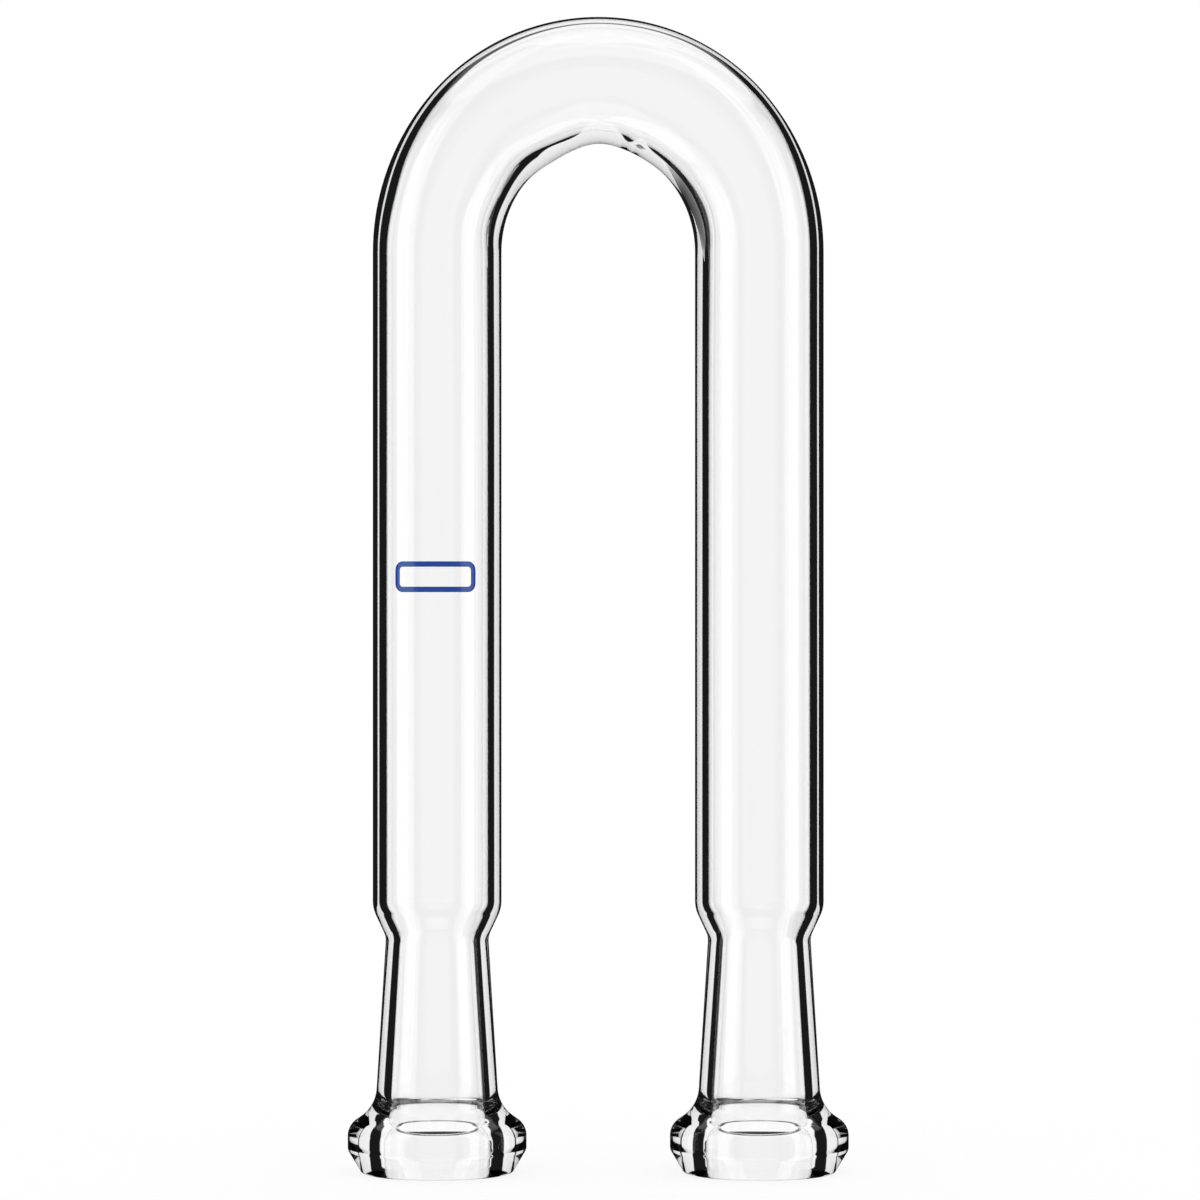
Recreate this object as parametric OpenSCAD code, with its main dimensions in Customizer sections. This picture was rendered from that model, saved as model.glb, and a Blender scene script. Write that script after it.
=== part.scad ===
// U-shaped drying tube, blown in one piece from clear glass tubing.
// Two legs stand side by side and a bend joins them over the top. At its foot each leg is necked in, opens
// again as a tapered socket, flares out and ends in a thick fire-polished bead, which it stands on.
// Millimetres. The origin is midway between the legs, on the plane of the feet; X runs from leg to leg.

/* [Tube] */
// Outside diameter of the tube
tube_od = 19; // [18:0.5:22]
// Wall of the tube
tube_wall = 2; // [1.3:0.1:2.5]
// Distance between the axes of the two legs
leg_spacing = 47.6; // [46:0.2:80]
// Height of the whole piece, from its feet to the crown of its bend
overall_height = 170.6; // [140:0.2:260]

/* [Kink] */
// Radius of the kink where the glass folded on the inside of the bend
kink_radius = 7.4; // [6:0.2:9]
// Rise of the kink over the inside of the bend
kink_rise = 0.5; // [0.2:0.1:0.8]
// Wall over the kink, where the glass gathered
kink_wall = 2.4; // [2:0.1:2.8]

/* [Neck] */
// Outside diameter of the neck
neck_od = 15.1; // [14.5:0.1:16]
// Height of the neck over the feet
neck_height = 34.8; // [30:0.2:60]
// Slope of the shoulder between leg and neck, against the axis of the leg
shoulder_angle = 25; // [20:1:40]
// Outside rounding where the leg turns into the shoulder
shoulder_round = 5; // [3:0.5:6]
// Outside rounding where the shoulder turns into the neck
neck_round = 3; // [1:0.5:4]

/* [Socket] */
// Outside diameter of the socket at its wide end, where the flare starts
socket_od = 18.2; // [17:0.1:19]
// Height of the socket's wide end over the feet
flare_height = 9.7; // [9:0.1:12]
// Outside rounding between socket and flare
flare_round = 5.5; // [3:0.5:6]
// Wall of the socket and of the neck
socket_wall = 2.2; // [1.6:0.1:2.5]

/* [Bead] */
// Largest diameter of the bead
bead_od = 26.4; // [25:0.1:30]
// Height of the bead's upper corner over the feet
bead_height = 6.9; // [6.5:0.1:7.5]
// Rounding of the bead's upper corner
bead_round = 2.8; // [1:0.1:3]
// Diameter of the foot, where the chamfer under the bead reaches the ground
foot_od = 22.3; // [20:0.1:23]
// Height of the chamfer under the bead
chamfer_height = 3.4; // [2:0.1:4]
// Rounding between bead and chamfer
chamfer_round = 1.5; // [0.5:0.1:2]
// Rounding of the foot's two edges
foot_round = 0.6; // [0.2:0.1:0.8]

/* [Mouth] */
// Diameter of the straight bore through the bead
mouth_bore = 15.8; // [14.5:0.1:16.2]
// Height of the straight bore, from the feet up
mouth_depth = 5.6; // [4:0.1:6]
// Height of the throat, where the taper of the socket starts
throat_height = 9.6; // [9:0.1:11]
// Rounding of the bore at both ends of the throat
throat_round = 3; // [1:0.5:4]

/* [Hidden] */
$fn = 96;
arc_steps = 6;
clear_of_feet = 1;
kink_bar_spare = 2;
lap = 5;

tube_r = tube_od / 2;
bore_r = tube_r - tube_wall;
neck_r = neck_od / 2;
neck_bore_r = neck_r - socket_wall;
socket_r = socket_od / 2;
bead_r = bead_od / 2;
foot_r = foot_od / 2;
mouth_r = mouth_bore / 2;

// The bend is a half circle that springs from the legs
bend_radius = leg_spacing / 2;
bend_height = overall_height - bend_radius - tube_r;
kink_height = bend_height + bend_radius - tube_r + kink_rise - kink_radius;

// The shoulder is a cone, outside and inside, with its wall measured square to the glass
shoulder_height = neck_height + (tube_r - neck_r) / tan(shoulder_angle);
bore_shoulder_height = shoulder_height + tube_wall * tan(shoulder_angle / 2);
bore_neck_height = bore_shoulder_height - (bore_r - neck_bore_r) / tan(shoulder_angle);

// The worked end of each leg stops half way up the straight tube
end_height = (bore_shoulder_height + bend_height) / 2;

// Outside radius of the socket's taper at a height over the feet
function socket_r_at(height) =
    neck_r + (socket_r - neck_r) * (neck_height - height) / (neck_height - flare_height);

// Corners of the worked end's two outlines, from the top down: radius, height and rounding
outside_corners = [
    [0, end_height, 0],
    [tube_r, end_height, 0],
    [tube_r, shoulder_height, shoulder_round],
    [neck_r, neck_height, neck_round],
    [socket_r, flare_height, flare_round],
    [bead_r, bead_height, bead_round],
    [bead_r, chamfer_height, chamfer_round],
    [foot_r, 0, foot_round],
    [0, 0, 0],
];
bore_corners = [
    [0, end_height, 0],
    [bore_r, end_height, 0],
    [bore_r, bore_shoulder_height, shoulder_round - tube_wall],
    [neck_bore_r, bore_neck_height, neck_round + socket_wall],
    [socket_r_at(throat_height) - socket_wall, throat_height, throat_round],
    [mouth_r, mouth_depth, throat_round],
    [mouth_r, 0, foot_round],
    [mouth_r + foot_round, 0, 0],
    [mouth_r + foot_round, -clear_of_feet, 0],
    [0, -clear_of_feet, 0],
];

function place(corner) = [corner[0], corner[1]];
function unit(v) = v / norm(v);
function turned(v, angle) = [
    v[0] * cos(angle) - v[1] * sin(angle),
    v[0] * sin(angle) + v[1] * cos(angle),
];

// The arc that rounds a corner, or the corner itself where it is sharp
function corner_arc(before, corner, after) =
    corner[2] == 0 ? [place(corner)] :
    let (
        back = unit(place(before) - place(corner)),
        ahead = unit(place(after) - place(corner)),
        half_angle = acos(back * ahead) / 2,
        centre = place(corner) + unit(back + ahead) * corner[2] / sin(half_angle),
        start = place(corner) + back * corner[2] / tan(half_angle) - centre,
        turn = sign(cross(ahead, back)) * (180 - 2 * half_angle)
    )
    [for (i = [0 : arc_steps]) centre + turned(start, turn * i / arc_steps)];

// An outline with each of its corners rounded
function rounded(corners) = [
    for (i = [0 : len(corners) - 1])
        each corner_arc(
            corners[(i + len(corners) - 1) % len(corners)],
            corners[i],
            corners[(i + 1) % len(corners)]
        )
];

// A round section, as far out as the legs
module section(radius) {
    translate([bend_radius, 0])
        circle(radius);
}

// A solid round bar that follows the tube: two worked ends, and the bend with its straight legs,
// which reach down a little way inside them
module run(corners, radius) {
    for (side = [-1, 1])
        translate([side * bend_radius, 0, 0])
            rotate_extrude()
                polygon(rounded(corners));
    for (side = [0, 1])
        mirror([side, 0, 0])
            translate([0, 0, end_height - lap])
                linear_extrude(bend_height - end_height + lap)
                    section(radius);
    translate([0, 0, bend_height])
        rotate([90, 0, 0])
            rotate_extrude(angle = 180)
                section(radius);
}

// The bar across the inside of the bend that the kink folds round
module kink_bar(radius) {
    translate([0, 0, kink_height])
        rotate([90, 0, 0])
            cylinder(r = radius, h = tube_od + kink_bar_spare, center = true);
}

// The glass is what lies between the outside and the bore
module u_tube() {
    color([0.90, 0.95, 0.95, 0.45])
        difference() {
            run(outside_corners, tube_r);
            kink_bar(kink_radius);
            difference() {
                run(bore_corners, bore_r);
                kink_bar(kink_radius + kink_wall);
            }
        }
}

u_tube();
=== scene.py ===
"""Looks of the drying tube: clear drawn glass, a fired-on marking frame and a plain white studio.

Sizes in the classes are millimetres and degrees. Meshes are metres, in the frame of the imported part: the
origin midway between the legs on the plane of the feet, X from leg to leg, Z up.
"""

import logging
import math
from dataclasses import dataclass, field
from enum import Enum
from typing import Any, NamedTuple

import bpy
from bpy.types import Material, Mesh, Node, NodeSocket, NodeTree, Object
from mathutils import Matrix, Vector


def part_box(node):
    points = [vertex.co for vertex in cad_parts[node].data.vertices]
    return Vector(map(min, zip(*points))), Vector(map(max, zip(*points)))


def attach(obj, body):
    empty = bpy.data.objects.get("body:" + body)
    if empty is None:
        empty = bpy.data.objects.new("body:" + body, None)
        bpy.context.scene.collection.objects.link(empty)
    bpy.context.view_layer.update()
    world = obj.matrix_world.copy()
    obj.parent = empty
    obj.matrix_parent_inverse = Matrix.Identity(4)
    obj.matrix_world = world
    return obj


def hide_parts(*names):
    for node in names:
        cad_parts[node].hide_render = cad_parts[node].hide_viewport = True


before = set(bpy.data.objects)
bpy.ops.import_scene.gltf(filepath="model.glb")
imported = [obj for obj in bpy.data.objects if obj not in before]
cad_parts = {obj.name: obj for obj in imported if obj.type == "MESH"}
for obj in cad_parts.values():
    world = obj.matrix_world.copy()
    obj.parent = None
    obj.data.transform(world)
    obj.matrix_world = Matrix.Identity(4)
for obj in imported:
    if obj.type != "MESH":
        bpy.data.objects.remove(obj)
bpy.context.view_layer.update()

log = logging.getLogger("drying_tube")

MM = 0.001
TUBE_NODE = "u_tube"
BODY = "root"
WHITE = "#FFFFFF"

# The sRGB curve: a straight toe, then a power
CHANNEL_FULL = 255
TOE_END = 0.04045
TOE_SLOPE = 12.92
CURVE_OFFSET = 0.055
CURVE_POWER = 2.4

# A ray's depth counts the surfaces that it has passed or turned at. Half a step parts one count from
# the next, and a ray that has gone into the wall and out again has passed two.
HALF_STEP = 0.5
WALL_SURFACES = 2

Feed = Node | NodeSocket


class Side(Enum):
    """A leg of the tube, by the side of the middle that it stands on."""

    LEFT = -1
    RIGHT = 1


class Edge(Enum):
    """An edge of the bent tube, by the way that it lies from the centreline."""

    OUTER = 1
    INNER = -1


class Corner(NamedTuple):
    """A corner of an outline before it is rounded."""

    radius: float
    height: float
    rounding: float


class Ring(NamedTuple):
    """One ring of the tube wall: a corner on the straight tube, and what the bend does to it.

    Both steps are outwards: shift on the outer half of the ring, and lift on the half in the hollow.
    """

    radius: float
    length: float
    rounding: float
    steps: int
    shift: float
    lift: float


class Bend(NamedTuple):
    """A corner of the centreline before it is rounded."""

    x: float
    height: float
    rounding: float
    steps: int


class Station(NamedTuple):
    """A place on the centreline, a step outwards from it, and its angle from the crown in degrees."""

    x: float
    height: float
    out_x: float
    out_z: float
    turn: float


class Softbox(NamedTuple):
    """A lit panel: the azimuths of its edges from behind the piece, and how far each edge fades."""

    start: float
    end: float
    start_fade: float
    end_fade: float


class Bump(NamedTuple):
    """A smooth rise of the glass along the bend, centred on an angle from the crown."""

    angle: float
    spread: float
    rise: float

    def at(self, angle: float) -> float:
        """Returns its height at an angle from the crown."""
        return self.rise * math.exp(-(((angle - self.angle) / self.spread) ** 2))


def linear(hex_colour: str) -> tuple[float, float, float, float]:
    """Turns an sRGB hex colour into linear light.

    Args:
        hex_colour: The colour as "#RRGGBB".

    Returns:
        Red, green and blue in linear light, and an alpha of one.
    """
    channels = [int(hex_colour[i : i + 2], 16) / CHANNEL_FULL for i in (1, 3, 5)]
    red, green, blue = (
        c / TOE_SLOPE if c <= TOE_END else ((c + CURVE_OFFSET) / (1 + CURVE_OFFSET)) ** CURVE_POWER
        for c in channels
    )
    return red, green, blue, 1.0


def add_node(
    tree: NodeTree,
    kind: str,
    inputs: dict[str | int, Any] | None = None,
    **settings: Any,
) -> Node:
    """Adds a node with its settings, its values and its links.

    Args:
        tree: The tree that the node goes into.
        kind: Blender's name of the node.
        inputs: A value for each input socket, or what feeds it: a socket, or a node's first output.
        **settings: The node's own settings.

    Returns:
        The new node.
    """
    node = tree.nodes.new(kind)
    for name, value in settings.items():
        setattr(node, name, value)
    for socket, value in (inputs or {}).items():
        if isinstance(value, Feed):
            feed = value.outputs[0] if isinstance(value, Node) else value
            tree.links.new(feed, node.inputs[socket])
        else:
            node.inputs[socket].default_value = value
    return node


def blank_material(name: str) -> Material:
    """Makes a material with an empty node tree.

    Args:
        name: Its name.

    Returns:
        The new material.
    """
    material = bpy.data.materials.new(name)
    material.use_nodes = True
    material.node_tree.nodes.clear()
    return material


def add_surface(
    tree: NodeTree, noise: dict[str, Any], colours: tuple[str, str], depth: float, body: dict[str, Any]
) -> None:
    """Adds a surface whose colour and height vary together.

    Args:
        tree: The material's tree.
        noise: Inputs of the noise that they vary with.
        colours: The two colours that it runs between.
        depth: How far its height varies.
        body: Inputs of the shader beside its colour and height.
    """
    pattern = add_node(tree, "ShaderNodeTexNoise", noise)
    ends = {"Factor": pattern, "A": linear(colours[0]), "B": linear(colours[1])}
    colour = add_node(tree, "ShaderNodeMix", ends, data_type="RGBA")
    height = add_node(tree, "ShaderNodeBump", {"Height": pattern, "Distance": depth * MM})
    inputs = {"Base Color": colour.outputs["Result"], "Normal": height, **body}
    surface = add_node(tree, "ShaderNodeBsdfPrincipled", inputs)
    add_node(tree, "ShaderNodeOutputMaterial", {"Surface": surface})


def link_piece(name: str, mesh: Mesh) -> Object:
    """Makes an object that shows a mesh in the scene.

    Args:
        name: The object's name.
        mesh: The mesh.

    Returns:
        The new object.
    """
    piece = bpy.data.objects.new(name, mesh)
    bpy.context.scene.collection.objects.link(piece)
    return piece


@dataclass(frozen=True)
class DrawnGlass:
    """Borosilicate tubing, drawn and flame-worked.

    It is almost colourless, with no haze. Faint lines run the way it was drawn, and a reflection bends
    a little over them.
    """

    tint: str = WHITE
    line_tint: str = "#FDFDFD"
    ior: float = 1.473
    roughness: float = 0.0
    # A drawn line's size
    line_width: float = 1.6
    line_length: float = 45.0
    line_depth: float = 0.004
    line_detail: float = 1.0

    def material(self) -> Material:
        """Builds the glass.

        Returns:
            The material.
        """
        material = blank_material("borosilicate_glass_drawn")
        tree = material.node_tree
        drawn = add_node(tree, "ShaderNodeAttribute", attribute_name="drawn")
        across = 1 / (self.line_width * MM)
        along = 1 / (self.line_length * MM)
        stretch = add_node(
            tree,
            "ShaderNodeMapping",
            {"Vector": drawn.outputs["Vector"], "Scale": (across, across, along)},
        )
        add_surface(
            tree,
            {"Vector": stretch, "Scale": 1.0, "Detail": self.line_detail},
            (self.tint, self.line_tint),
            self.line_depth,
            {"Roughness": self.roughness, "IOR": self.ior, "Transmission Weight": 1.0},
        )
        return material


@dataclass(frozen=True)
class FiredEnamel:
    """Blue marking enamel, screen-printed on the glass and fired.

    It melts into a thin glossy skin whose colour is a little uneven where the print was thinner.
    """

    colour: str = "#00388A"
    thin_colour: str = "#0A4499"
    ior: float = 1.5
    roughness: float = 0.18
    # The size of a thinner spot, drawn coarser than the print's grain so that it shows
    mottle: float = 0.35
    mottle_depth: float = 0.002
    mottle_detail: float = 2.0

    def material(self) -> Material:
        """Builds the enamel.

        Returns:
            The material.
        """
        material = blank_material("fired_enamel_blue")
        tree = material.node_tree
        place = add_node(tree, "ShaderNodeTexCoord").outputs["Object"]
        add_surface(
            tree,
            {"Vector": place, "Scale": 1 / (self.mottle * MM), "Detail": self.mottle_detail},
            (self.colour, self.thin_colour),
            self.mottle_depth,
            {"Roughness": self.roughness, "IOR": self.ior},
        )
        return material


@dataclass
class GlassTube:
    """The tube itself, one wall of glass from bead to bead.

    The wall's outline is laid out along a straight tube. Geometry Nodes round its corners, turn it round
    the axis, and lay the straight tube along its centreline, which goes up one leg, over the bend and down
    again. Heights are from the feet up, and a socket is the tapered end of a leg.
    """

    overall_height: float
    leg_spacing: float
    bead_od: float
    tube_od: float = 19.0
    tube_wall: float = 2.0
    neck_od: float = 15.1
    neck_height: float = 34.8
    shoulder_angle: float = 25.0
    shoulder_round: float = 5.0
    neck_round: float = 3.0
    socket_od: float = 18.2
    flare_height: float = 9.7
    flare_round: float = 5.5
    socket_wall: float = 2.2
    bead_height: float = 6.9
    bead_round: float = 2.8
    foot_od: float = 22.3
    chamfer_height: float = 3.4
    chamfer_round: float = 1.5
    foot_round: float = 0.6
    mouth_bore: float = 15.8
    mouth_depth: float = 5.6
    throat_height: float = 9.6
    throat_round: float = 3.0
    # The bend: a tight arc over the crown, and a wider one, the haunch, on each side of it
    crown_radius: float = 23.0
    haunch_turn: float = 40.0
    # How finely it is drawn
    ring_turn: float = 2.0
    degrees_a_step: float = 3.0
    least_steps: int = 2
    crown_steps: int = 200
    haunch_steps: int = 80
    segments: int = 192
    # How bending left the glass: the hollow folded, the wall drawn thin outside and gathered inside
    folds: tuple[Bump, ...] = (Bump(1, 13, 0.38), Bump(-31, 16, -0.43), Bump(33, 14, -0.13))
    stretched: tuple[Bump, ...] = (
        Bump(-76, 8, -0.15), Bump(-45, 18, 0.35), Bump(-5, 26, 0.3), Bump(30, 18, 0.42), Bump(54, 18, 0.5)
    )
    gathered: tuple[Bump, ...] = (
        Bump(-78, 10, 0.3), Bump(-44, 18, 0.5), Bump(4, 6, -0.1), Bump(21, 5, -0.25), Bump(72, 16, 0.35)
    )
    # How far from a ring's flank, as a part of its radius, a bump reaches its full rise
    flank: float = 0.85
    glass: DrawnGlass = field(default_factory=DrawnGlass)

    @property
    def tube_r(self) -> float:
        """Outside radius of the tube."""
        return self.tube_od / 2

    @property
    def half_spacing(self) -> float:
        """Distance from the middle to the axis of a leg."""
        return self.leg_spacing / 2

    @property
    def haunch_radius(self) -> float:
        """Radius of the centreline between leg and crown, which meets both smoothly."""
        turn = math.cos(math.radians(self.haunch_turn))
        return (self.half_spacing - self.crown_radius * turn) / (1 - turn)

    @property
    def crown_centre(self) -> float:
        """Height of the centre of the crown's arc."""
        return self.overall_height - self.tube_r - self.crown_radius

    @property
    def spring_height(self) -> float:
        """Height at which the centreline starts to bend."""
        turn = math.sin(math.radians(self.haunch_turn))
        return self.crown_centre - (self.haunch_radius - self.crown_radius) * turn

    @property
    def crown_turn(self) -> float:
        """Angle that the crown's arc turns through."""
        return 180 - 2 * self.haunch_turn

    @property
    def path_length(self) -> float:
        """Length of the centreline from foot to foot."""
        haunches = 2 * self.haunch_radius * math.radians(self.haunch_turn)
        return 2 * self.spring_height + haunches + self.crown_radius * math.radians(self.crown_turn)

    def length_at(self, angle: float) -> float:
        """Finds how far along the centreline a place on the bend lies.

        Args:
            angle: Angle of the place from the crown, from -90 at the left spring to 90 at the right.

        Returns:
            The length from the left foot.
        """
        crown = min(abs(angle), self.crown_turn / 2)
        haunch = abs(angle) - crown
        run = math.radians(crown) * self.crown_radius + math.radians(haunch) * self.haunch_radius
        return self.path_length / 2 + math.copysign(run, angle)

    def station(self, length: float) -> Station:
        """Finds a place on the centreline.

        Args:
            length: Length along the centreline from the left foot.

        Returns:
            The place.
        """
        past = length - self.path_length / 2
        crown_run = math.radians(self.crown_turn / 2) * self.crown_radius
        haunch_run = math.radians(self.haunch_turn) * self.haunch_radius
        side = math.copysign(1, past)
        crown = min(abs(past), crown_run)
        haunch = min(abs(past) - crown, haunch_run)
        leg = abs(past) - crown - haunch
        turn = crown / self.crown_radius + haunch / self.haunch_radius
        radius = self.crown_radius + (self.haunch_radius - self.crown_radius) * (haunch > 0)
        joint = math.radians(self.crown_turn / 2) if haunch > 0 else turn
        x = self.crown_radius * math.sin(joint) + radius * (math.sin(turn) - math.sin(joint))
        height = self.crown_centre + self.crown_radius * math.cos(joint)
        height += radius * (math.cos(turn) - math.cos(joint)) - leg
        return Station(side * x, height, side * math.sin(turn), math.cos(turn), math.degrees(turn))

    def outside_radius(self, length: float) -> float:
        """Finds the outside radius at a place, without the roundings.

        Args:
            length: Length along the centreline from the left foot.

        Returns:
            The radius.
        """
        height = min(length, self.path_length - length)
        corners = self.outside_corners()
        for low, high in zip(corners, corners[1:]):
            if low.height <= height <= high.height:
                share = (height - low.height) / (high.height - low.height)
                return low.radius + (high.radius - low.radius) * share
        return self.tube_r

    def outside_corners(self) -> list[Corner]:
        """Lists the corners of a leg's outside.

        Returns:
            The corners from the foot up.
        """
        slope = math.tan(math.radians(self.shoulder_angle))
        shoulder_height = self.neck_height + (self.tube_od - self.neck_od) / 2 / slope
        return [
            Corner(self.foot_od / 2, 0, self.foot_round),
            Corner(self.bead_od / 2, self.chamfer_height, self.chamfer_round),
            Corner(self.bead_od / 2, self.bead_height, self.bead_round),
            Corner(self.socket_od / 2, self.flare_height, self.flare_round),
            Corner(self.neck_od / 2, self.neck_height, self.neck_round),
            Corner(self.tube_r, shoulder_height, self.shoulder_round),
        ]

    def bore_corners(self) -> list[Corner]:
        """Lists the corners of a leg's bore.

        Returns:
            The corners from the mouth up.
        """
        slope = math.radians(self.shoulder_angle)
        bore_r = self.tube_r - self.tube_wall
        neck_bore_r = self.neck_od / 2 - self.socket_wall
        taper = (self.socket_od - self.neck_od) / 2 / (self.neck_height - self.flare_height)
        throat_r = neck_bore_r + taper * (self.neck_height - self.throat_height)
        shoulder_height = self.outside_corners()[-1].height + self.tube_wall * math.tan(slope / 2)
        neck_height = shoulder_height - (bore_r - neck_bore_r) / math.tan(slope)
        return [
            Corner(self.mouth_bore / 2, 0, self.foot_round),
            Corner(self.mouth_bore / 2, self.mouth_depth, self.throat_round),
            Corner(throat_r, self.throat_height, self.throat_round),
            Corner(neck_bore_r, neck_height, self.neck_round + self.socket_wall),
            Corner(bore_r, shoulder_height, self.shoulder_round - self.tube_wall),
        ]

    def side_rings(self, corners: list[Corner], radius: float, bore: bool) -> list[Ring]:
        """Lays out one face of the wall from the left end to the right end.

        Args:
            corners: The corners of a leg, from its foot up.
            radius: Radius of the face on the straight tube and on the bend.
            bore: Whether the face is the bore, which the bend moves outwards.

        Returns:
            The rings in order.
        """
        rings = []
        # The foot's face runs up to the first corner from the middle of the wall
        face = Corner(corners[0].radius + (1 if bore else -1), corners[0].height, 0)
        spring = Corner(radius, self.spring_height, 0)
        for before, corner, after in zip([face, *corners[:-1]], corners, [*corners[1:], spring]):
            start = math.atan2(corner.height - before.height, corner.radius - before.radius)
            turn = abs(math.atan2(after.height - corner.height, after.radius - corner.radius) - start)
            turn = math.degrees(min(turn, 2 * math.pi - turn))
            steps = max(self.least_steps, round(turn / self.degrees_a_step))
            rings.append(Ring(corner.radius, corner.height, corner.rounding, steps, 0, 0))
        # Two plain rings keep the leg straight between the shoulder and the bend
        for height in (corners[-1].height + self.tube_od, self.spring_height - self.tube_od):
            rings.append(Ring(radius, height, 0, 1, 0, 0))
        left = list(rings)
        count = round(180 / self.ring_turn)
        for i in range(count + 1):
            angle = -90 + 180 * i / count
            shift = sum(bump.at(angle) for bump in self.stretched) if bore else 0
            lift = sum(bump.at(angle) for bump in (*self.folds, *(self.gathered if bore else ())))
            rings.append(Ring(radius, self.length_at(angle), 0, 1, shift, lift))
        rings += [ring._replace(length=self.path_length - ring.length) for ring in reversed(left)]
        return rings

    def base_mesh(self) -> Mesh:
        """Draws the wall's outline and the centreline as bare edges, with what the tree needs on points.

        Returns:
            A mesh of two runs of edges. The outline's height runs down, as the tree hangs it that way.
        """
        outside = self.side_rings(self.outside_corners(), self.tube_r, False)
        bore = self.side_rings(self.bore_corners(), self.tube_r - self.tube_wall, True)
        loop = [*bore, *reversed(outside)]
        haunch_tangent = self.haunch_radius * math.tan(math.radians(self.haunch_turn / 2))
        apex = self.crown_centre + self.crown_radius / math.cos(math.radians(self.crown_turn / 2))
        haunch = (self.spring_height + haunch_tangent, self.haunch_radius, self.haunch_steps)
        path = [
            Bend(-self.half_spacing, 0, 0, 1),
            Bend(-self.half_spacing, *haunch),
            Bend(0, apex, self.crown_radius, self.crown_steps),
            Bend(self.half_spacing, *haunch),
            Bend(self.half_spacing, 0, 0, 1),
        ]
        points = [((ring.radius - self.tube_r) * MM, -ring.length * MM, 0) for ring in loop]
        points += [(bend.x * MM, 0, bend.height * MM) for bend in path]
        edges = [(i, (i + 1) % len(loop)) for i in range(len(loop))]
        edges += [(len(loop) + i, len(loop) + i + 1) for i in range(len(path) - 1)]
        mesh = bpy.data.meshes.new("tube_outline")
        mesh.from_pydata(points, edges, [])
        columns = {
            "rounding": ("FLOAT", [place.rounding * MM for place in (*loop, *path)]),
            "steps": ("INT", [place.steps for place in (*loop, *path)]),
            "shift": ("FLOAT", [ring.shift * MM for ring in loop] + [0.0] * len(path)),
            "lift": ("FLOAT", [ring.lift * MM for ring in loop] + [0.0] * len(path)),
            "centreline": ("BOOLEAN", [False] * len(loop) + [True] * len(path)),
        }
        for name, (kind, values) in columns.items():
            mesh.attributes.new(name, kind, "POINT").data.foreach_set("value", values)
        return mesh

    def tree(self, material: Material) -> NodeTree:
        """Builds the Geometry Nodes that turn the outline into the bent tube.

        Args:
            material: The glass.

        Returns:
            The tree, with the tube's radius and the number of segments round it as inputs.
        """
        tree = bpy.data.node_groups.new("bend_tube", "GeometryNodeTree")
        sockets = (
            ("Geometry", "INPUT", "NodeSocketGeometry"),
            ("Tube Radius", "INPUT", "NodeSocketFloat"),
            ("Segments", "INPUT", "NodeSocketInt"),
            ("Geometry", "OUTPUT", "NodeSocketGeometry"),
        )
        for name, way, kind in sockets:
            tree.interface.new_socket(name=name, in_out=way, socket_type=kind)
        given = add_node(tree, "NodeGroupInput").outputs
        named = {
            name: add_node(tree, "GeometryNodeInputNamedAttribute", {"Name": name}, data_type=kind)
            for name, kind in (
                ("rounding", "FLOAT"),
                ("steps", "INT"),
                ("shift", "FLOAT"),
                ("lift", "FLOAT"),
                ("centreline", "BOOLEAN"),
            )
        }
        curves = add_node(tree, "GeometryNodeMeshToCurve", {"Mesh": given["Geometry"]})
        rounded = add_node(
            tree,
            "GeometryNodeFilletCurve",
            {"Curve": curves, "Count": named["steps"], "Radius": named["rounding"]},
            mode="POLY",
        )
        parts = add_node(
            tree, "GeometryNodeSeparateGeometry", {"Geometry": rounded, "Selection": named["centreline"]}
        )
        circle = add_node(
            tree,
            "GeometryNodeCurvePrimitiveCircle",
            {"Resolution": given["Segments"], "Radius": given["Tube Radius"]},
        )
        straight = add_node(
            tree, "GeometryNodeCurveToMesh", {"Curve": circle, "Profile Curve": parts.outputs["Inverted"]}
        )
        position = add_node(tree, "GeometryNodeInputPosition")
        drawn = add_node(
            tree,
            "GeometryNodeStoreNamedAttribute",
            {"Geometry": straight, "Name": "drawn", "Value": position},
            data_type="FLOAT_VECTOR",
        )
        place = add_node(tree, "ShaderNodeSeparateXYZ", {"Vector": position}).outputs
        centre = add_node(
            tree,
            "GeometryNodeSampleCurve",
            {"Curves": parts.outputs["Selection"], "Length": place["Z"]},
            mode="LENGTH",
        )
        inwards = add_node(
            tree,
            "ShaderNodeVectorMath",
            {0: (0, 1, 0), 1: centre.outputs["Tangent"]},
            operation="CROSS_PRODUCT",
        )
        inwards = add_node(tree, "ShaderNodeVectorMath", {0: inwards}, operation="NORMALIZE")
        flat = add_node(tree, "ShaderNodeCombineXYZ", {"X": place["X"], "Y": place["Y"]})
        radius = add_node(tree, "ShaderNodeVectorMath", {0: flat}, operation="LENGTH")
        across = add_node(
            tree, "ShaderNodeMath", {0: place["X"], 1: radius.outputs["Value"]}, operation="DIVIDE"
        )
        aside = add_node(tree, "ShaderNodeMath", {0: across}, operation="ABSOLUTE")
        weight = add_node(
            tree,
            "ShaderNodeMapRange",
            {"Value": aside, "From Max": self.flank},
            interpolation_type="SMOOTHSTEP",
        )
        hollow_side = add_node(tree, "ShaderNodeMath", {0: across, 1: 0.0}, operation="GREATER_THAN")
        full = add_node(
            tree,
            "GeometryNodeSwitch",
            {"Switch": hollow_side, "False": named["shift"], "True": named["lift"]},
            input_type="FLOAT",
        )
        moved = add_node(tree, "ShaderNodeMath", {0: weight, 1: full}, operation="MULTIPLY")
        reach = add_node(tree, "ShaderNodeMath", {0: place["X"], 1: moved}, operation="SUBTRACT")
        sideways = add_node(tree, "ShaderNodeVectorMath", {0: inwards, "Scale": reach}, operation="SCALE")
        depth = add_node(tree, "ShaderNodeCombineXYZ", {"Y": place["Y"]})
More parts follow.
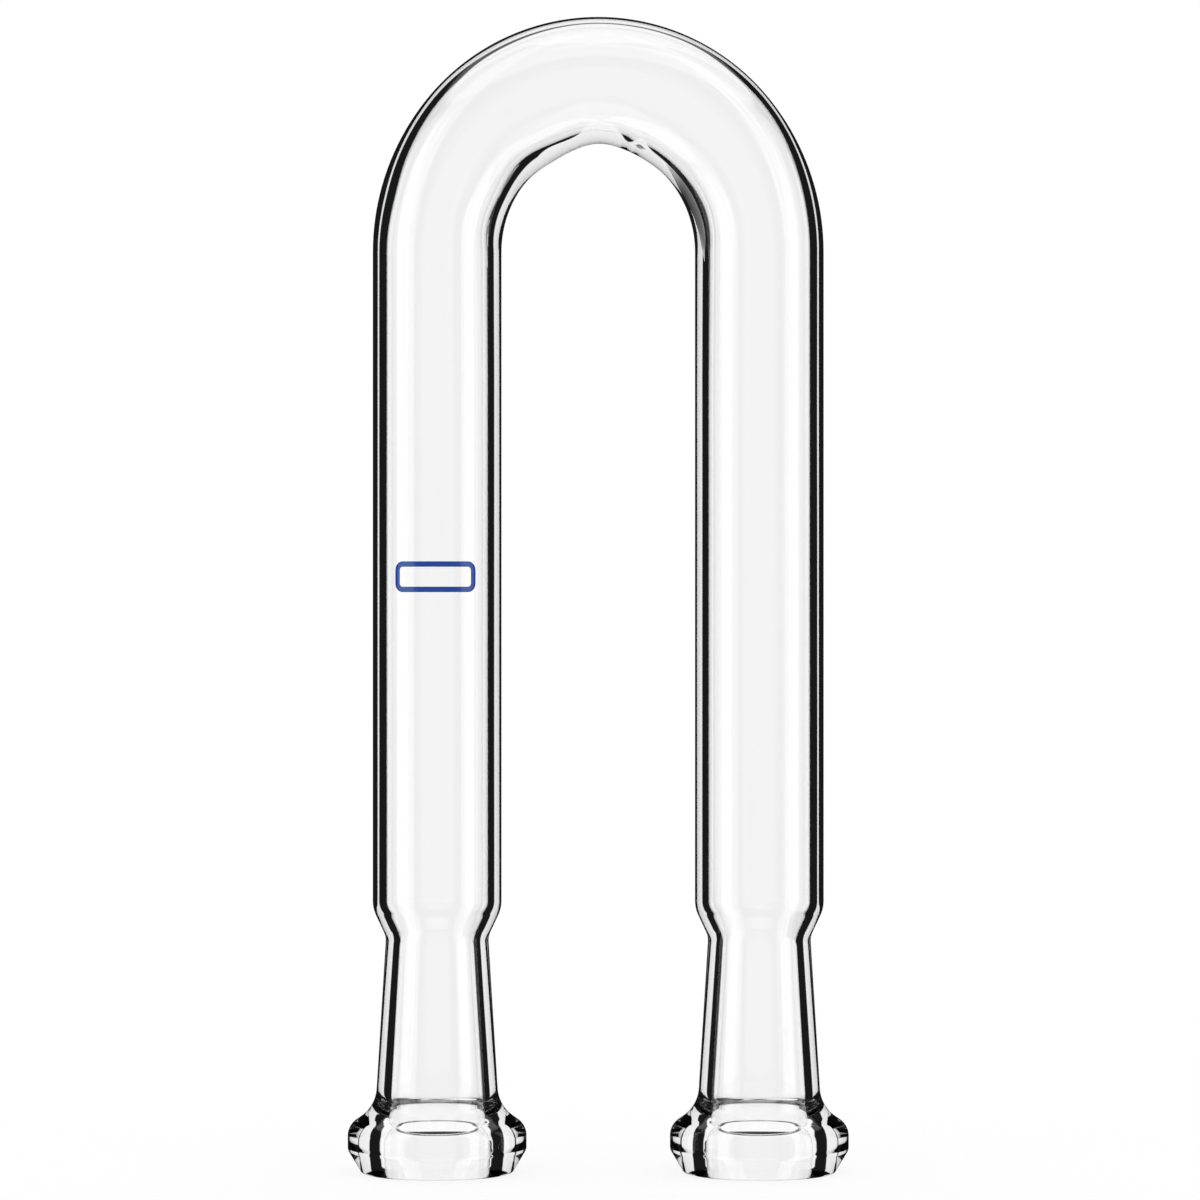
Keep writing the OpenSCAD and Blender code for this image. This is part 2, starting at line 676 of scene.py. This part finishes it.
        offset = add_node(tree, "ShaderNodeVectorMath", {0: sideways, 1: depth}, operation="ADD")
        target = add_node(
            tree, "ShaderNodeVectorMath", {0: centre.outputs["Position"], 1: offset}, operation="ADD"
        )
        bent = add_node(tree, "GeometryNodeSetPosition", {"Geometry": drawn, "Position": target})
        smooth = add_node(tree, "GeometryNodeSetShadeSmooth", {"Geometry": bent})
        real = add_node(tree, "GeometryNodeRealizeInstances", {"Geometry": smooth})
        glass = add_node(tree, "GeometryNodeSetMaterial", {"Geometry": real, "Material": material})
        add_node(tree, "NodeGroupOutput", {"Geometry": glass})
        return tree

    def build(self) -> Object:
        """Makes the tube, dresses it and ties it to the frame.

        Returns:
            The finished piece.
        """
        outline = link_piece("tube_outline", self.base_mesh())
        tree = self.tree(self.glass.material())
        bend = outline.modifiers.new("bend_tube", "NODES")
        bend.node_group = tree
        values = {"Tube Radius": self.tube_r * MM, "Segments": self.segments}
        for item in tree.interface.items_tree:
            if item.name in values:
                bend[item.identifier] = values[item.name]
        depsgraph = bpy.context.evaluated_depsgraph_get()
        mesh = bpy.data.meshes.new_from_object(
            outline.evaluated_get(depsgraph), preserve_all_data_layers=True, depsgraph=depsgraph
        )
        outline.modifiers.clear()
        bpy.data.objects.remove(outline)
        mesh.name = "glass_tube"
        tube = link_piece("glass_tube", mesh)
        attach(tube, BODY)
        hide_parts(TUBE_NODE)
        return tube


@dataclass
class MarkingFrame:
    """A blank marking field on the front of a leg, framed by a line of fired enamel."""

    side: Side
    half_spacing: float
    tube_r: float
    width: float = 12.6
    height: float = 4.5
    line: float = 0.8
    corner: float = 1.3
    centre_height: float = 87.9
    sunk: float = 0.01
    proud: float = 0.03
    # The line's section: how high its edge stands and where it rounds over, as parts of proud and line
    edge_rise: float = 0.4
    shoulder_rise: float = 0.85
    shoulder_inset: float = 0.12
    corner_steps: int = 10
    straight_steps: int = 24
    enamel: FiredEnamel = field(default_factory=FiredEnamel)

    def contour(self, inset: float) -> list[tuple[float, float]]:
        """Lays out the rounded rectangle, flat.

        Args:
            inset: How far it lies inside the outer edge of the line.

        Returns:
            Points round it, counterclockwise from the right-hand side's foot.
        """
        half_width = self.width / 2 - inset
        half_height = self.height / 2 - inset
        radius = self.corner - inset
        points: list[tuple[float, float]] = []
        for quarter, (sx, sz) in enumerate(((1, 1), (-1, 1), (-1, -1), (1, -1))):
            centre_x = sx * (half_width - radius)
            centre_z = sz * (half_height - radius)
            for i in range(self.corner_steps + 1):
                angle = math.radians(90 * (quarter + i / self.corner_steps))
                x = centre_x + radius * math.cos(angle)
                points.append((x, centre_z + radius * math.sin(angle)))
            if quarter % 2 == 0:
                end_x = points[-1][0]
                points += [
                    (end_x * (1 - 2 * i / self.straight_steps), points[-1][1])
                    for i in range(1, self.straight_steps)
                ]
        return points

    def build(self) -> Object:
        """Makes the frame on the glass, dresses it and ties it to the frame.

        Returns:
            The finished piece.
        """
        leg_axis = self.side.value * self.half_spacing
        inset_by = self.line * self.shoulder_inset
        section = (
            (0.0, -self.sunk),
            (0.0, self.proud * self.edge_rise),
            (inset_by, self.proud * self.shoulder_rise),
            (self.line / 2, self.proud),
            (self.line - inset_by, self.proud * self.shoulder_rise),
            (self.line, self.proud * self.edge_rise),
            (self.line, -self.sunk),
            (self.line / 2, -self.sunk),
        )
        vertices = []
        for inset, rise in section:
            for across, up in self.contour(inset):
                radius = self.tube_r + rise
                turn = across / self.tube_r
                x = leg_axis + radius * math.sin(turn)
                y = -radius * math.cos(turn)
                vertices.append((x * MM, y * MM, (self.centre_height + up) * MM))
        count = len(vertices) // len(section)
        faces = []
        for run in range(len(section)):
            here = run * count
            following = (run + 1) % len(section) * count
            for i in range(count):
                beside = (i + 1) % count
                faces.append((here + i, here + beside, following + beside, following + i))
        mesh = bpy.data.meshes.new("marking_frame")
        mesh.from_pydata(vertices, [], faces)
        mesh.polygons.foreach_set("use_smooth", [True] * len(mesh.polygons))
        mesh.materials.append(self.enamel.material())
        piece = link_piece("marking_frame", mesh)
        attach(piece, BODY)
        return piece


@dataclass
class Studio:
    """A white floor and world, what the glass alone mirrors or bends into view, and the camera.

    Clear glass shows on white by its dark rims. Matt surfaces get a plain, even light. Glass meets
    softboxes on its outside, windows and a sky through its wall, and strips of dark card behind its edges.
    """

    tube: GlassTube
    camera_place: tuple[float, float, float] = (0.26, -718.0, 84.5)
    lens: float = 145.8
    floor_radius: float = 650.0
    floor_drop: float = 0.02
    floor_steps: int = 96
    shadow_share: float = 0.15
    # Levels of light
    plain: float = 1.0
    dark: float = 0.01
    room: float = 0.45
    softbox_level: float = 2.0
    # What the outside mirrors
    left_box: Softbox = Softbox(-138, -107, 4, 3)
    right_box: Softbox = Softbox(110, 134, 3, 2)
    # What shows through the wall, in degrees
    window_half_angle: float = 28.0
    slit_from: float = 22.0
    slit_to: float = 46.0
    sky_height: float = 43.0
    soft_edge: float = 1.5
    # How much of a direction's rise counts against a window, and of its fall where there is a sill
    window_squash: float = 0.68
    sill_squash: float = 0.75
    # Parts of a unit direction past which the sill, the ground and the room behind the camera start
    sill_from: float = 0.24
    ground_from: float = -0.4
    room_from: float = -0.8
    # The cards' reach from the centreline, in outside radii of the tube
    card_inner: float = 0.35
    card_socket_edge: float = 0.76
    outer_leg_edge: float = 1.45
    outer_crown_edge: float = 1.3
    inner_leg_edge: float = 0.93
    inner_crown_edge: float = 0.5
    grey_card_edge: float = 2.0
    # Where the cards hang. The crown's reach gives way to the leg's over some degrees down the bend.
    card_depth: float = 12.0
    card_foot: float = 9.7
    card_socket_top: float = 37.0
    card_step: float = 1.5
    crown_until: float = 45.0
    crown_fade: float = 20.0
    grey_card_from: float = 40.0
    grey_card_to: float = 88.0
    # The grey card's levels along its two edges and at its ends, and how soon it tapers
    grey_card: tuple[float, float] = (0.05, 0.22)
    grey_card_end: float = 0.78
    grey_card_taper: float = 2.5

    def softboxes(self) -> list[tuple[float, float]]:
        """Lists what the outside of the glass mirrors.

        Returns:
            Azimuths from behind the piece, and the level at each.
        """
        left = self.left_box
        right = self.right_box
        return [
            (-180, self.room),
            (left.start - left.start_fade, self.room),
            (left.start, self.softbox_level),
            (left.end, self.softbox_level),
            (left.end + left.end_fade, self.dark),
            (right.start - right.start_fade, self.dark),
            (right.start, self.softbox_level),
            (right.end, self.softbox_level),
            (right.end + right.end_fade, self.room),
            (180, self.room),
        ]

    def shown(self, tree: NodeTree) -> Node:
        """Tells the rays that see white: the camera's own, and those that look through the tube.

        Args:
            tree: The tree that asks.

        Returns:
            A node that gives one for such a ray and zero for any other.
        """
        path = add_node(tree, "ShaderNodeLightPath").outputs
        through = add_node(
            tree,
            "ShaderNodeMath",
            {0: path["Transmission Depth"], 1: WALL_SURFACES + HALF_STEP},
            operation="GREATER_THAN",
        )
        straight = add_node(
            tree, "ShaderNodeMath", {0: path["Glossy Depth"], 1: HALF_STEP}, operation="LESS_THAN"
        )
        both = add_node(tree, "ShaderNodeMath", {0: through, 1: straight}, operation="MULTIPLY")
        return add_node(tree, "ShaderNodeMath", {0: both, 1: path["Is Camera Ray"]}, operation="MAXIMUM")

    def specular(self, tree: NodeTree) -> Node:
        """Tells the rays that come off or through the glass.

        Args:
            tree: The tree that asks.

        Returns:
            A node that gives one for such a ray and zero for any other.
        """
        path = add_node(tree, "ShaderNodeLightPath").outputs
        return add_node(
            tree,
            "ShaderNodeMath",
            {0: path["Is Glossy Ray"], 1: path["Is Transmission Ray"]},
            operation="MAXIMUM",
        )

    def facing(self, tree: NodeTree, direction: Feed) -> Node:
        """Adds the measure of how squarely a direction meets a window.

        The windows stand behind the piece and at each side of it. They are taller than wide, and reach
        down to the ground, except that those on the right have a sill.

        Args:
            tree: The tree that it goes into.
            direction: The direction that is looked in.

        Returns:
            A node that gives the cosine of the angle to the middle of the nearest window.
        """
        axes = add_node(tree, "ShaderNodeSeparateXYZ", {"Vector": direction}).outputs
        upward = add_node(
            tree, "ShaderNodeMath", {0: axes["Z"], 1: self.window_squash}, operation="MULTIPLY"
        )
        right = add_node(
            tree, "ShaderNodeMath", {0: axes["X"], 1: self.sill_from}, operation="GREATER_THAN"
        )
        sill = add_node(tree, "ShaderNodeMath", {0: right, 1: -self.sill_squash}, operation="MULTIPLY")
        downward = add_node(tree, "ShaderNodeMath", {0: axes["Z"], 1: sill}, operation="MULTIPLY")
        above = add_node(tree, "ShaderNodeMath", {0: upward, 1: downward}, operation="MAXIMUM")
        squashed = add_node(tree, "ShaderNodeCombineXYZ", {"X": axes["X"], "Y": axes["Y"], "Z": above})
        unit = add_node(tree, "ShaderNodeVectorMath", {0: squashed}, operation="NORMALIZE")
        axes = add_node(tree, "ShaderNodeSeparateXYZ", {"Vector": unit}).outputs
        aside = add_node(tree, "ShaderNodeMath", {0: axes["X"]}, operation="ABSOLUTE")
        return add_node(tree, "ShaderNodeMath", {0: aside, 1: axes["Y"]}, operation="MAXIMUM")

    def within(self, tree: NodeTree, facing: Feed, half_angle: float) -> Node:
        """Adds a soft-edged test of that measure.

        Args:
            tree: The tree that it goes into.
            facing: The measure.
            half_angle: Half the angle that passes.

        Returns:
            A node that gives one within the angle and zero beyond it.
        """
        return add_node(
            tree,
            "ShaderNodeMapRange",
            {
                "Value": facing,
                "From Min": math.cos(math.radians(half_angle + self.soft_edge)),
                "From Max": math.cos(math.radians(half_angle - self.soft_edge)),
            },
        )

    def mirrored_level(self, tree: NodeTree, x: Feed, y: Feed) -> Node:
        """Adds the softboxes that the outside of the glass mirrors.

        Args:
            tree: The tree that they go into.
            x: The sideways part of a direction.
            y: The part of it that leads away from the camera's first place.

        Returns:
            A node that gives the level of light from that direction.
        """
        angle = add_node(tree, "ShaderNodeMath", {0: x, 1: y}, operation="ARCTAN2")
        turn = add_node(
            tree, "ShaderNodeMapRange", {"Value": angle, "From Min": -math.pi, "From Max": math.pi}
        )
        ramp = add_node(tree, "ShaderNodeValToRGB", {"Fac": turn})
        elements = ramp.color_ramp.elements
        elements.remove(elements[-1])
        for index, (azimuth, level) in enumerate(self.softboxes()):
            place = (azimuth + 180) / 360
            element = elements.new(place) if index else elements[0]
            share = level / self.softbox_level
            element.color = (share, share, share, 1)
        return add_node(tree, "ShaderNodeMath", {0: ramp, 1: self.softbox_level}, operation="MULTIPLY")

    def bent_level(self, tree: NodeTree, direction: Feed, sky: Feed) -> Node:
        """Adds what shows through the wall of the glass.

        Light that has turned once inside the wall meets the windows. Light that the wall has only bent
        meets a slit at each side of a window, and the ground. Both meet the sky, and the room behind the
        camera.

        Args:
            tree: The tree that it goes into.
            direction: The direction that is looked in.
            sky: The level of the sky in that direction.

        Returns:
            A node that gives the level of light from that direction.
        """
        axes = add_node(tree, "ShaderNodeSeparateXYZ", {"Vector": direction}).outputs
        path = add_node(tree, "ShaderNodeLightPath").outputs
        facing = self.facing(tree, direction)
        once = add_node(
            tree, "ShaderNodeMath", {0: path["Glossy Depth"], 1: 1.0, 2: HALF_STEP}, operation="COMPARE"
        )
        turned = add_node(
            tree,
            "ShaderNodeMath",
            {0: self.within(tree, facing, self.window_half_angle), 1: once},
            operation="MULTIPLY",
        )
        slit = add_node(
            tree,
            "ShaderNodeMath",
            {0: self.within(tree, facing, self.slit_to), 1: self.within(tree, facing, self.slit_from)},
            operation="SUBTRACT",
        )
        ground = add_node(
            tree, "ShaderNodeMath", {0: axes["Z"], 1: self.ground_from}, operation="LESS_THAN"
        )
        wall = add_node(tree, "ShaderNodeMath", {0: slit, 1: ground}, operation="MAXIMUM")
        unturned = add_node(
            tree, "ShaderNodeMath", {0: path["Glossy Depth"], 1: HALF_STEP}, operation="LESS_THAN"
        )
        met = add_node(tree, "ShaderNodeMix", {"Factor": unturned, "A": turned, "B": wall})
        lit = add_node(tree, "ShaderNodeMath", {0: met, 1: sky}, operation="MAXIMUM")
        near = add_node(tree, "ShaderNodeMath", {0: axes["Y"], 1: self.room_from}, operation="LESS_THAN")
        room = add_node(tree, "ShaderNodeMix", {"Factor": near, "A": self.dark, "B": self.room})
        return add_node(tree, "ShaderNodeMath", {0: lit, 1: room}, operation="MAXIMUM")

    def light_world(self) -> None:
        """Lights the room: plain for matt surfaces, windows for glass, white where it is seen."""
        world = bpy.data.worlds.new("studio")
        bpy.context.scene.world = world
        world.use_nodes = True
        tree = world.node_tree
        tree.nodes.clear()
        direction = add_node(tree, "ShaderNodeTexCoord").outputs["Generated"]
        axes = add_node(tree, "ShaderNodeSeparateXYZ", {"Vector": direction}).outputs
        sky = add_node(
            tree,
            "ShaderNodeMapRange",
            {
                "Value": axes["Z"],
                "From Min": math.sin(math.radians(self.sky_height - self.soft_edge)),
                "From Max": math.sin(math.radians(self.sky_height + self.soft_edge)),
            },
        )
        mirrored = add_node(
            tree,
            "ShaderNodeMath",
            {0: self.mirrored_level(tree, axes["X"], axes["Y"]), 1: sky},
            operation="MAXIMUM",
        )
        path = add_node(tree, "ShaderNodeLightPath").outputs
        entered = add_node(
            tree,
            "ShaderNodeMath",
            {0: path["Transmission Depth"], 1: HALF_STEP},
            operation="GREATER_THAN",
        )
        glassy = add_node(
            tree,
            "ShaderNodeMix",
            {"Factor": entered, "A": mirrored, "B": self.bent_level(tree, direction, sky)},
        )
        lit = add_node(
            tree, "ShaderNodeMix", {"Factor": self.specular(tree), "A": self.plain, "B": glassy}
        )
        strength = add_node(tree, "ShaderNodeMix", {"Factor": self.shown(tree), "A": lit, "B": 1.0})
        background = add_node(
            tree, "ShaderNodeBackground", {"Color": linear(WHITE), "Strength": strength}
        )
        add_node(tree, "ShaderNodeOutputWorld", {"Surface": background})

    def lay_floor(self) -> None:
        """Lays the round white floor."""
        turns = [2 * math.pi * i / self.floor_steps for i in range(self.floor_steps)]
        radius = self.floor_radius * MM
        height = -self.floor_drop * MM
        rim = [(radius * math.cos(turn), radius * math.sin(turn), height) for turn in turns]
        mesh = bpy.data.meshes.new("floor")
        mesh.from_pydata(rim, [], [tuple(range(self.floor_steps))])
        mesh.materials.append(self.floor_material())
        link_piece("floor", mesh)

    def floor_material(self) -> Material:
        """Builds matt white paper, which scatters light evenly and has no shine.

        It glows white where it is seen, and a share of it is plain paper that keeps the piece's shadow.
        What the glass mirrors or turns looks past it into the world.

        Returns:
            The material.
        """
        material = blank_material("matt_white_paper")
        tree = material.node_tree
        glow = add_node(tree, "ShaderNodeEmission", {"Strength": 1.0})
        paper = add_node(tree, "ShaderNodeBsdfDiffuse", {"Color": linear(WHITE)})
        white = add_node(tree, "ShaderNodeMixShader", {0: self.shadow_share, 1: glow, 2: paper})
        beyond = add_node(tree, "ShaderNodeBsdfTransparent")
        hidden = add_node(tree, "ShaderNodeMath", {0: 1.0, 1: self.shown(tree)}, operation="SUBTRACT")
        mirrored = add_node(
            tree, "ShaderNodeMath", {0: hidden, 1: self.specular(tree)}, operation="MULTIPLY"
        )
        surface = add_node(tree, "ShaderNodeMixShader", {0: mirrored, 1: white, 2: beyond})
        add_node(tree, "ShaderNodeOutputMaterial", {"Surface": surface})
        return material

    def card_material(self) -> Material:
        """Builds dark card, which shows only by the light that has turned inside the wall of the glass.

        Each strip's attribute "level" says how dark it is.

        Returns:
            The material.
        """
        material = blank_material("black_card")
        tree = material.node_tree
        path = add_node(tree, "ShaderNodeLightPath").outputs
        turned = add_node(
            tree, "ShaderNodeMath", {0: path["Glossy Depth"], 1: HALF_STEP}, operation="GREATER_THAN"
        )
        wall_only = add_node(
            tree,
            "ShaderNodeMath",
            {0: path["Transmission Depth"], 1: WALL_SURFACES, 2: HALF_STEP},
            operation="COMPARE",
        )
        met = add_node(tree, "ShaderNodeMath", {0: turned, 1: wall_only}, operation="MULTIPLY")
        level = add_node(tree, "ShaderNodeAttribute", attribute_name="level")
        card = add_node(tree, "ShaderNodeEmission", {"Strength": level.outputs["Fac"]})
        clear = add_node(tree, "ShaderNodeBsdfTransparent")
        surface = add_node(tree, "ShaderNodeMixShader", {0: met, 1: clear, 2: card})
        add_node(tree, "ShaderNodeOutputMaterial", {"Surface": surface})
        return material

    def card_reach(self, edge: Edge, length: float) -> float:
        """Finds how far a black card reaches out from the centreline.

        Args:
            edge: The edge of the tube that it hangs behind.
            length: Length along the centreline from the left foot.

        Returns:
            The reach, in outside radii of the tube.
        """
        if min(length, self.tube.path_length - length) < self.card_socket_top:
            return self.card_socket_edge
        outer = edge is Edge.OUTER
        crown = self.outer_crown_edge if outer else self.inner_crown_edge
        leg = self.outer_leg_edge if outer else self.inner_leg_edge
        past = (self.tube.station(length).turn - self.crown_until) / self.crown_fade
        return crown + (leg - crown) * min(max(past, 0), 1)

    def strip(
        self, edge: Edge, start: float, stop: float, grey: bool
    ) -> tuple[list[tuple[float, float, float]], list[float]]:
        """Lays out one strip of card along the tube.

        Args:
            edge: The edge of the tube that it hangs behind.
            start: Length along the centreline at which it starts.
            stop: Length at which it stops.
            grey: Whether it is the grey one, which tapers and pales to its ends.

        Returns:
            The points of its two edges in pairs, and the level at each point.
        """
        points = []
        levels = []
        count = round((stop - start) / self.card_step)
        for i in range(count + 1):
            length = start + (stop - start) * i / count
            reach = self.card_reach(edge, length)
            shares = (self.card_inner, reach)
            shades = (self.dark, self.dark)
            if grey:
                far = self.grey_card_edge
                body = min(1.0, self.grey_card_taper * min(i, count - i) / count)
                shares = (far + (reach - far) * body, far)
                shades = [shade + (self.grey_card_end - shade) * (1 - body) for shade in self.grey_card]
            levels += shades
            place = self.tube.station(length)
            for share in shares:
                out = edge.value * share * self.tube.outside_radius(length)
                x = place.x + place.out_x * out
                height = place.height + place.out_z * out
                points.append((x * MM, self.card_depth * MM, height * MM))
        return points, levels

    def hang_cards(self) -> None:
        """Hangs strips of card close behind the tube, which give the glass its dark rims.

        Black ones follow both edges of the tube from socket to socket. A grey one stands in the hollow
        of the bend, at the right.
        """
        end = self.tube.path_length - self.card_foot
        grey_run = [self.tube.length_at(angle) for angle in (self.grey_card_from, self.grey_card_to)]
        points = []
        levels = []
        faces = []
        for edge, start, stop, grey in (
            (Edge.OUTER, self.card_foot, end, False),
            (Edge.INNER, self.card_foot, end, False),
            (Edge.INNER, *grey_run, True),
        ):
            first = len(points)
            strip, shades = self.strip(edge, start, stop, grey)
            points += strip
            levels += shades
            for here in range(first, len(points) - 2, 2):
                faces.append((here, here + 1, here + 3, here + 2))
        mesh = bpy.data.meshes.new("black_cards")
        mesh.from_pydata(points, [], faces)
        mesh.attributes.new("level", "FLOAT", "POINT").data.foreach_set("value", levels)
        mesh.materials.append(self.card_material())
        link_piece("black_cards", mesh)

    def place_camera(self) -> None:
        """Places the camera straight in front, at half the height of the piece."""
        data = bpy.data.cameras.new("camera")
        data.lens = self.lens
        camera = bpy.data.objects.new("camera", data)
        camera.location = tuple(value * MM for value in self.camera_place)
        camera.rotation_euler = (math.radians(90), 0, 0)
        bpy.context.scene.collection.objects.link(camera)
        bpy.context.scene.camera = camera

    def build(self) -> None:
        """Makes the world, the floor, the cards and the camera."""
        self.light_world()
        self.lay_floor()
        self.hang_cards()
        self.place_camera()
        bpy.context.scene.view_settings.view_transform = "Standard"


def report(piece: Object) -> None:
    """Logs a piece's size."""
    piece.data.calc_loop_triangles()
    log.info("%s: %d triangles", piece.name, len(piece.data.loop_triangles))


def main() -> None:
    """Builds the studio and the pieces in order."""
    logging.basicConfig(level=logging.INFO, format="%(message)s")
    low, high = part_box(TUBE_NODE)
    bead_od = (high.y - low.y) / MM
    tube = GlassTube(
        overall_height=high.z / MM, leg_spacing=(high.x - low.x) / MM - bead_od, bead_od=bead_od
    )
    Studio(tube).build()
    report(tube.build())
    marking = MarkingFrame(side=Side.LEFT, half_spacing=tube.half_spacing, tube_r=tube.tube_r)
    report(marking.build())


if __name__ == "__main__":
    main()
